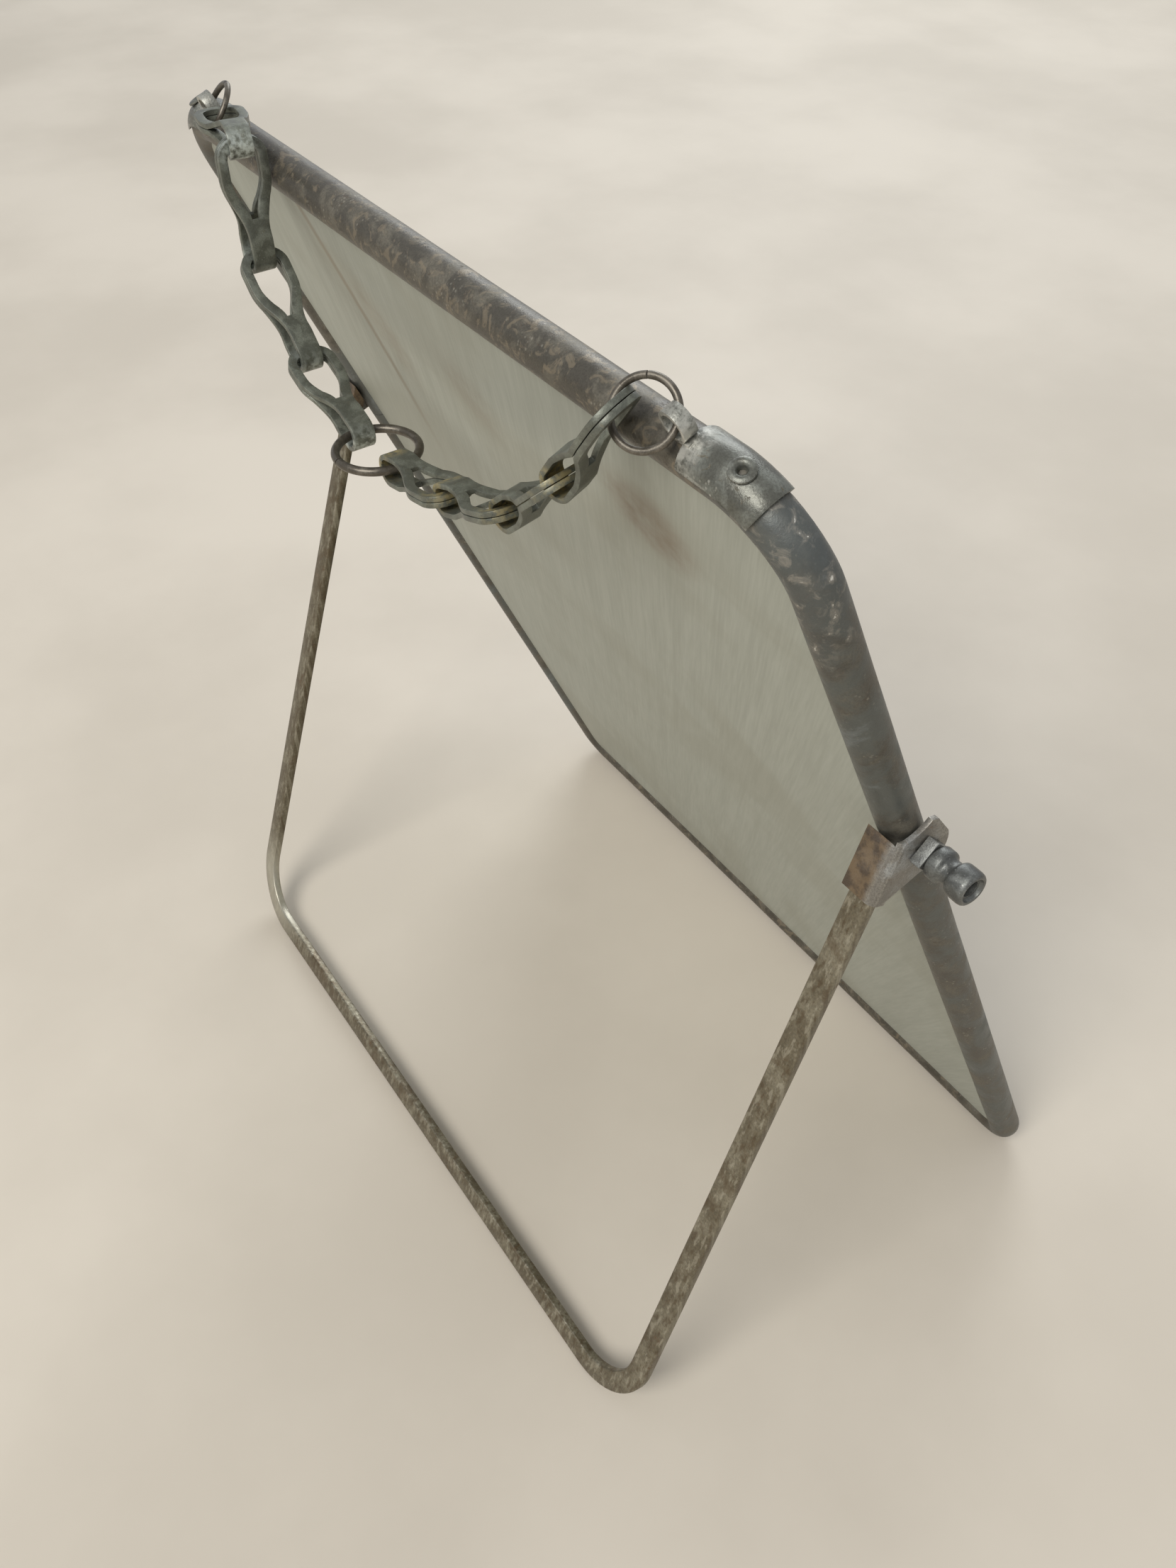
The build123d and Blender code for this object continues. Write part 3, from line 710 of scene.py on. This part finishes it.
NUT_START = 80.7
RIVET_TURN, RIVET_SINK = 17.0, -0.4
for side, name in ((1, "right"), (-1, "left")):
    z = NUT_START
    bore = 1.26
    profile = [(z, bore), (z, 2.25), (z + 0.12, 2.42), (z + 0.3, 2.5), (z + 1.5, 2.5), (z + 1.75, 2.42),
               (z + 1.9, 2.2), (z + 2.1, 1.95), (z + 2.4, 1.88), (z + 2.9, 1.86), (z + 3.3, 1.92),
               (z + 3.5, 2.1), (z + 3.62, 2.35), (z + 3.8, 2.5), (z + 4.1, 2.58), (z + 4.6, 2.6),
               (z + 5.9, 2.6), (z + 6.3, 2.52), (z + 6.55, 2.35), (z + 6.68, 2.1), (z + 6.6, 1.85),
               (z + 6.2, 1.7), (z + 6.1, 1.6), (z + 6.08, bore)]
    nut = lathe("round_thumb_nut_" + name, profile, at_pivot(side), mat_nut)
    place(nut, "thumb_nut_body_" + name, ["thumb_nut_" + name], "nut_metal")
    stud = [(76.07, 0.0), (76.07, 1.18), (85.3, 1.18), (85.7, 1.0), (85.79, 0.6), (85.79, 0.0)]
    place(lathe("pivot_screw_" + name, stud, at_pivot(side), mat_nut), "frame", ["pivot_stud_" + name],
          "nut_metal")


def at_corner(side, turn, radial):
    """Places along a radius of a top corner of the rim, turned down from straight up."""
    cx, cy = side * (PANEL_W / 2 - TOP_R), PANEL_H - TOP_R
    a = math.radians(turn)
    ou, ov = side * math.sin(a), math.cos(a)

    def put(z, p, q):
        r = TOP_R + radial + z
        return on_panel(cx + ou * r + ov * side * p, cy + ov * r - ou * side * p, RIM_R + q)
    return put


# eyelets through the lugs
for side, name in ((1, "right"), (-1, "left")):
    profile = [(-0.95, 0.5), (-0.95, 0.88), (0.9, 0.88), (0.95, 1.0), (0.95, 1.45), (1.05, 1.55),
               (1.25, 1.52), (1.4, 1.3), (1.45, 1.05), (1.4, 0.8), (1.2, 0.6), (0.9, 0.5)]
    eyelet = lathe("lug_eyelet_" + name, profile, at_corner(side, RIVET_TURN, RIVET_SINK), mat_lug, 32)
    place(eyelet, "frame", ["lug_rivet_" + name], "lug_sheet")


# ---------------------------------------------------------------- geometry node trees
def geometry_tree(name, inputs):
    tree = bpy.data.node_groups.new(name, "GeometryNodeTree")
    tree.is_modifier = True
    tree.interface.new_socket("Geometry", in_out="INPUT", socket_type="NodeSocketGeometry")
    ids = {}
    for label, kind in inputs:
        ids[label] = tree.interface.new_socket(label, in_out="INPUT", socket_type=kind).identifier
    tree.interface.new_socket("Geometry", in_out="OUTPUT", socket_type="NodeSocketGeometry")
    return tree, Nodes(tree), ids


def ring_tree():
    """A ring of bent wire with its two ends butted together."""
    tree, n, ids = geometry_tree("bent_wire_ring", [
        ("Ring Radius", "NodeSocketFloat"), ("Wire Radius", "NodeSocketFloat"), ("Gap", "NodeSocketFloat"),
        ("Place", "NodeSocketVector"), ("Turn", "NodeSocketVector"), ("Finish", "NodeSocketMaterial")])
    gi, go = n.add("NodeGroupInput"), n.add("NodeGroupOutput")
    arc = n.add("GeometryNodeCurveArc", Radius=gi.outputs["Ring Radius"])
    arc.inputs["Resolution"].default_value = 96
    tree.links.new(n.math("SUBTRACT", 2 * math.pi, gi.outputs["Gap"]), arc.inputs["Sweep Angle"])
    wire = n.add("GeometryNodeCurvePrimitiveCircle", Radius=gi.outputs["Wire Radius"])
    wire.inputs["Resolution"].default_value = 16
    tube = n.add("GeometryNodeCurveToMesh", Curve=arc.outputs["Curve"])
    tree.links.new(wire.outputs["Curve"], tube.inputs["Profile Curve"])
    tube.inputs["Fill Caps"].default_value = True
    moved = n.add("GeometryNodeTransform", Geometry=tube.outputs["Mesh"], Translation=gi.outputs["Place"],
                  Rotation=gi.outputs["Turn"])
    real = n.add("GeometryNodeRealizeInstances", Geometry=moved.outputs["Geometry"])
    done = n.add("GeometryNodeSetMaterial", Geometry=real.outputs["Geometry"], Material=gi.outputs["Finish"])
    tree.links.new(done.outputs["Geometry"], go.inputs["Geometry"])
    return tree, ids


def link_tree():
    """Lays one folded link at its place in the chain."""
    tree, n, ids = geometry_tree("chain_link", [
        ("Place", "NodeSocketVector"), ("Turn", "NodeSocketVector"), ("Finish", "NodeSocketMaterial")])
    gi, go = n.add("NodeGroupInput"), n.add("NodeGroupOutput")
    spot = n.add("GeometryNodeMeshLine")
    spot.inputs["Count"].default_value = 1
    tree.links.new(gi.outputs["Place"], spot.inputs["Start Location"])
    laid = n.add("GeometryNodeInstanceOnPoints", Points=spot.outputs["Mesh"], Instance=gi.outputs["Geometry"],
                 Rotation=gi.outputs["Turn"])
    real = n.add("GeometryNodeRealizeInstances", Geometry=laid.outputs["Instances"])
    done = n.add("GeometryNodeSetMaterial", Geometry=real.outputs["Geometry"], Material=gi.outputs["Finish"])
    tree.links.new(done.outputs["Geometry"], go.inputs["Geometry"])
    return tree, ids


RING_TREE, RING_IDS = ring_tree()
LINK_TREE, LINK_IDS = link_tree()


def grow(obj, tree, ids, **values):
    """Run a geometry tree on an object and keep its result as the mesh."""
    mod = obj.modifiers.new("build", "NODES")
    mod.node_group = tree
    for key, value in values.items():
        mod[ids[key.replace("__", " ")]] = value
    apply_modifiers(obj)


def basis(x_axis, z_axis):
    """Rotation that carries X and Z onto two perpendicular directions."""
    x, z = x_axis.normalized(), z_axis.normalized()
    y = z.cross(x)
    return Matrix((x, y, z)).transposed()


def wire_ring(name, middle, radius, wire, normal, start, gap):
    obj = bpy.data.objects.new(name, bpy.data.meshes.new(name))
    bpy.context.scene.collection.objects.link(obj)
    turn = basis(start, normal).to_euler()
    grow(obj, RING_TREE, RING_IDS, Ring__Radius=radius * MM, Wire__Radius=wire * MM, Gap=gap,
         Place=tuple(middle * MM), Turn=tuple(turn), Finish=mat_wire)
    tidy_mesh(obj, 60)
    return obj


# ---------------------------------------------------------------- chain
LINK_TIP = -0.7
STRIP_GAP = 0.05
SPREAD_FROM, SPREAD_TO = 8.0, 13.4


def ease(t):
    t = min(1.0, max(0.0, t))
    return t * t * (3 - 2 * t)


def link_outer(x):
    """Half width of a link at x from its end bar."""
    if x < 2.2:
        return 0.8 + math.sqrt(max(0.0, 2.9 ** 2 - (2.2 - x) ** 2))
    return 3.7 - 2.0 * ease((x - 5.0) / 7.6)


def link_hole(x):
    """Half width of the hole in a link's loop."""
    if x < 2.2:
        return 0.9 + 1.5 * math.sqrt(max(0.0, 1 - ((2.2 - x) / 1.5) ** 2))
    return 2.4 - 1.8 * ease((x - 5.0) / 5.6)


def link_side(run):
    """(x, z) on the middle of the bent strip, at a length along it from its tip."""
    low = STRIP_GAP + LINK_T / 2
    high = FOLD_R + LINK_T / 2
    knots = [(LINK_TIP, low), (SPREAD_FROM, low), (SPREAD_TO, high), (LINK_PITCH, high)]
    for (xa, za), (xb, zb) in zip(knots, knots[1:]):
        length = math.hypot(xb - xa, zb - za)
        if run <= length:
            k = run / length
            return xa + (xb - xa) * k, za + (zb - za) * k
        run -= length
    a = run / high
    return LINK_PITCH + high * math.sin(a), high * math.cos(a)


def build_blank():
    """One folded link lying on the XY plane, end bar at the origin, fold at +X."""
    slant = math.hypot(SPREAD_TO - SPREAD_FROM, FOLD_R - STRIP_GAP)
    straight = SPREAD_FROM - LINK_TIP + slant + LINK_PITCH - SPREAD_TO
    half = straight + math.pi * (FOLD_R + LINK_T / 2) / 2
    # close together where the outline curves hard, at the tip and at both ends of the hole
    stations = [0.0, 0.1, 0.3, 0.6, 1.0, 1.4, 1.45, 1.6, 1.9, 2.3, 2.8, 3.4, 4.0, 4.8, 5.6, 6.4, 7.2, 8.0,
                8.7, 9.4, 10.2, 10.8, 11.1, 11.3, 11.6, 12.2, 13.0, 13.8, 14.4, 15.2, 16.2]
    stations += [straight + (half - straight) * i / 8 for i in range(9)]
    hole_from, hole_to = 1.4, 11.3
    rows = []
    for top in (True, False):
        row = []
        for s in (stations if top else stations[:-1][::-1]):
            x, z = link_side(s)
            flat_x = s + LINK_TIP
            outer = link_outer(flat_x)
            inner = min(link_hole(flat_x), outer - 0.8) if hole_from <= s <= hole_to else outer * 0.35
            row.append((x, z if top else -z, outer, max(inner, 0.12), s))
        rows += row
    verts, faces = [], []
    for x, z, outer, inner, s in rows:
        verts += [Vector((x, y, z)) * MM for y in (-outer, -(outer + inner) / 2, -inner, 0, inner,
                                                   (outer + inner) / 2, outer)]
    for i in range(len(rows) - 1):
        s0, s1 = rows[i][4], rows[i + 1][4]
        for j in range(6):
            in_hole = j in (2, 3) and min(s0, s1) >= hole_from and max(s0, s1) <= hole_to
            if not in_hole:
                a = i * 7 + j
                faces.append((a, a + 1, a + 8, a + 7))
    mesh = bpy.data.meshes.new("link_blank")
    mesh.from_pydata([tuple(v) for v in verts], [], faces)
    obj = bpy.data.objects.new("link_blank", mesh)
    bpy.context.scene.collection.objects.link(obj)
    bm = bmesh.new()
    bm.from_mesh(mesh)
    bmesh.ops.delete(bm, geom=[v for v in bm.verts if not v.link_faces], context="VERTS")
    bmesh.ops.recalc_face_normals(bm, faces=bm.faces)
    bm.to_mesh(mesh)
    bm.free()
    thick = obj.modifiers.new("sheet", "SOLIDIFY")
    thick.thickness = (LINK_T - 0.02) * MM
    thick.offset = 0.0
    apply_modifiers(obj)
    soften(obj, 0.14, 40, 60)
    return obj


blank = build_blank()
CHAIN_Y = 89.2 + Y_SHIFT
HOOK = {1: Vector((51.6, 86.2 + Y_SHIFT, 185.5)), -1: Vector((-52.7, 88.7 + Y_SHIFT, 184.0))}
BAR_INSIDE = {1: 2.0, -1: 2.5}
SLOPES = {1: (-4.0, 89.5, 43.0, 21.5), -1: (53.4, 41.0, 20.617, 12.09)}
ROLLS = {1: (0.0, 0.0, 0.0, 0.0), -1: (18.0, 9.0, 0.0, 0.0)}
END_RING_R, END_WIRE_R = 3.8, 0.44
RING_RISE = Vector((0, -0.6, 0.8))
EYE_X, EYE_V, EYE_W = 59.0, 202.05, 3.5


def link_line(side, slope, across, roll=0.0):
    """Direction along a link and its normal, from its slope, how far it turns across and its roll."""
    a = math.radians(slope)
    lean = math.radians(-side * roll)
    flat = math.sqrt(1 - across * across)
    along = Vector((-side * math.cos(a) * flat, across, -math.sin(a) * flat))
    bar = Vector((side * math.cos(a) * across, flat, math.sin(a) * across))
    return along, along.cross(bar) * math.cos(lean) + bar * math.sin(lean)


def chain_half(side):
    """(place, along, normal) of each link from the lug inwards, and the last fold."""
    start = HOOK[side]
    for _ in range(6):
        across = (CHAIN_Y - start.y) / LINK_PITCH
        start = HOOK[side] - link_line(side, SLOPES[side][0], across)[0] * BAR_INSIDE[side]
    here, out = start, []
    for i, slope in enumerate(SLOPES[side]):
        along, normal = link_line(side, slope, across if i == 0 else 0.0, ROLLS[side][i])
        out.append((here.copy(), along, normal))
        here = here + along * LINK_PITCH
    return out, here


WORN = {1: rgb(182, 188, 180), -1: rgb(172, 156, 108)}
fold_end = {}
for side, name in ((1, "right"), (-1, "left")):
    links, fold_end[side] = chain_half(side)
    folds = [p + a * (LINK_PITCH + 1.5) + n * 1.2 for p, a, n in links]
    mat_chain = plated("chain_strip_" + name, rgb(92, 94, 84), rgb(118, 121, 109), rgb(86, 80, 60),
                       rgb(186, 190, 178), tint=link_marks(folds, WORN[side]), Cloud__Size=0.42,
                       Stain__Amount=0.40, Edge__Amount=0.35, Speck__Amount=0.12, Metal__Amount=0.4,
                       Roughness=0.42, depth=0.08)
    for number, (at, along, normal) in enumerate(links, 1):
        node = "chain_link_%s_%d" % (name, number)
        obj = bpy.data.objects.new("folded_link_%s_%d" % (name, number), blank.data.copy())
        bpy.context.scene.collection.objects.link(obj)
        grow(obj, LINK_TREE, LINK_IDS, Place=tuple(at * MM), Turn=tuple(basis(along, normal).to_euler()),
             Finish=mat_chain)
        tidy_mesh(obj, 60)
        place(obj, "link_%s_%d" % (name, number), [node], "chain_sheet")
    eye = on_panel(side * EYE_X, EYE_V, EYE_W) / MM
    chord = HOOK[side] - eye
    rise = (RING_RISE - chord * RING_RISE.dot(chord) / chord.length_squared).normalized()
    middle = eye + chord * 0.5 + rise * math.sqrt(END_RING_R ** 2 - chord.length_squared / 4)
    ring = wire_ring("wire_end_ring_" + name, middle, END_RING_R, END_WIRE_R, chord.cross(rise), rise, 0.05)
    place(ring, "end_ring_body_" + name, ["end_ring_" + name], "ring_wire")
bpy.data.objects.remove(blank)

ring_dir = fold_end[1] - fold_end[-1]
hang = wire_ring("chain_hanging_ring", (fold_end[1] + fold_end[-1]) * 0.5, 6.0, 0.65,
                 ring_dir.cross(Vector((0, 1, 0))), Vector((0, 1, 0)), 0.02)
place(hang, "hanging_ring_body", ["hanging_ring"], "ring_wire")

# ---------------------------------------------------------------- floor, light, camera
FLOOR_HALF = 3
SENSOR_H = 24.0
LENS_TO_SENSOR = 1941.2 / 2212.0
CAMERA_PLACE = Vector((-157.5, 161.54 + Y_SHIFT, 254.31)) * MM

floor = bpy.data.meshes.new("table_top")
corners = [(-FLOOR_HALF, -FLOOR_HALF, 0), (FLOOR_HALF, -FLOOR_HALF, 0), (FLOOR_HALF, FLOOR_HALF, 0),
           (-FLOOR_HALF, FLOOR_HALF, 0)]
floor.from_pydata(corners, [], [(0, 1, 2, 3)])
floor_obj = bpy.data.objects.new("table_top", floor)
floor_obj.data.materials.append(mat_floor)
bpy.context.scene.collection.objects.link(floor_obj)


def area_light(name, at, toward, size, watts, colour):
    data = bpy.data.lights.new(name, "AREA")
    data.shape = "DISK"
    data.size = size
    data.energy = watts
    data.color = colour
    obj = bpy.data.objects.new(name, data)
    obj.location = at
    obj.rotation_euler = (Vector(toward) - Vector(at)).to_track_quat("-Z", "Y").to_euler()
    bpy.context.scene.collection.objects.link(obj)


area_light("soft_key", (-0.35, 0.95, 1.15), (0, 0, 0.08), 0.75, 17.0, (1.0, 0.985, 0.96))
area_light("far_window", (0.9, -0.9, 0.9), (0, 0, 0.05), 0.9, 9.0, (0.93, 0.97, 1.0))

world = bpy.data.worlds.new("soft_room")
world.use_nodes = True
background = world.node_tree.nodes["Background"]
background.inputs[0].default_value = (0.86, 0.88, 0.92, 1)
background.inputs[1].default_value = 0.62
bpy.context.scene.world = world

cam_data = bpy.data.cameras.new("camera")
cam_data.sensor_fit = "VERTICAL"
cam_data.sensor_height = SENSOR_H
cam_data.lens = SENSOR_H * LENS_TO_SENSOR
cam_data.clip_start = 0.01
camera = bpy.data.objects.new("camera", cam_data)
right = Vector((-0.5628, -0.8265, -0.0144))
down = Vector((-0.5662, 0.3981, -0.7218))
forward = Vector((0.6022, -0.3981, -0.6920))
turn = Matrix((right, -down, -forward)).transposed().to_4x4()
camera.matrix_world = Matrix.Translation(CAMERA_PLACE) @ turn
bpy.context.scene.collection.objects.link(camera)
bpy.context.scene.camera = camera
bpy.context.scene.view_settings.view_transform = "Standard"
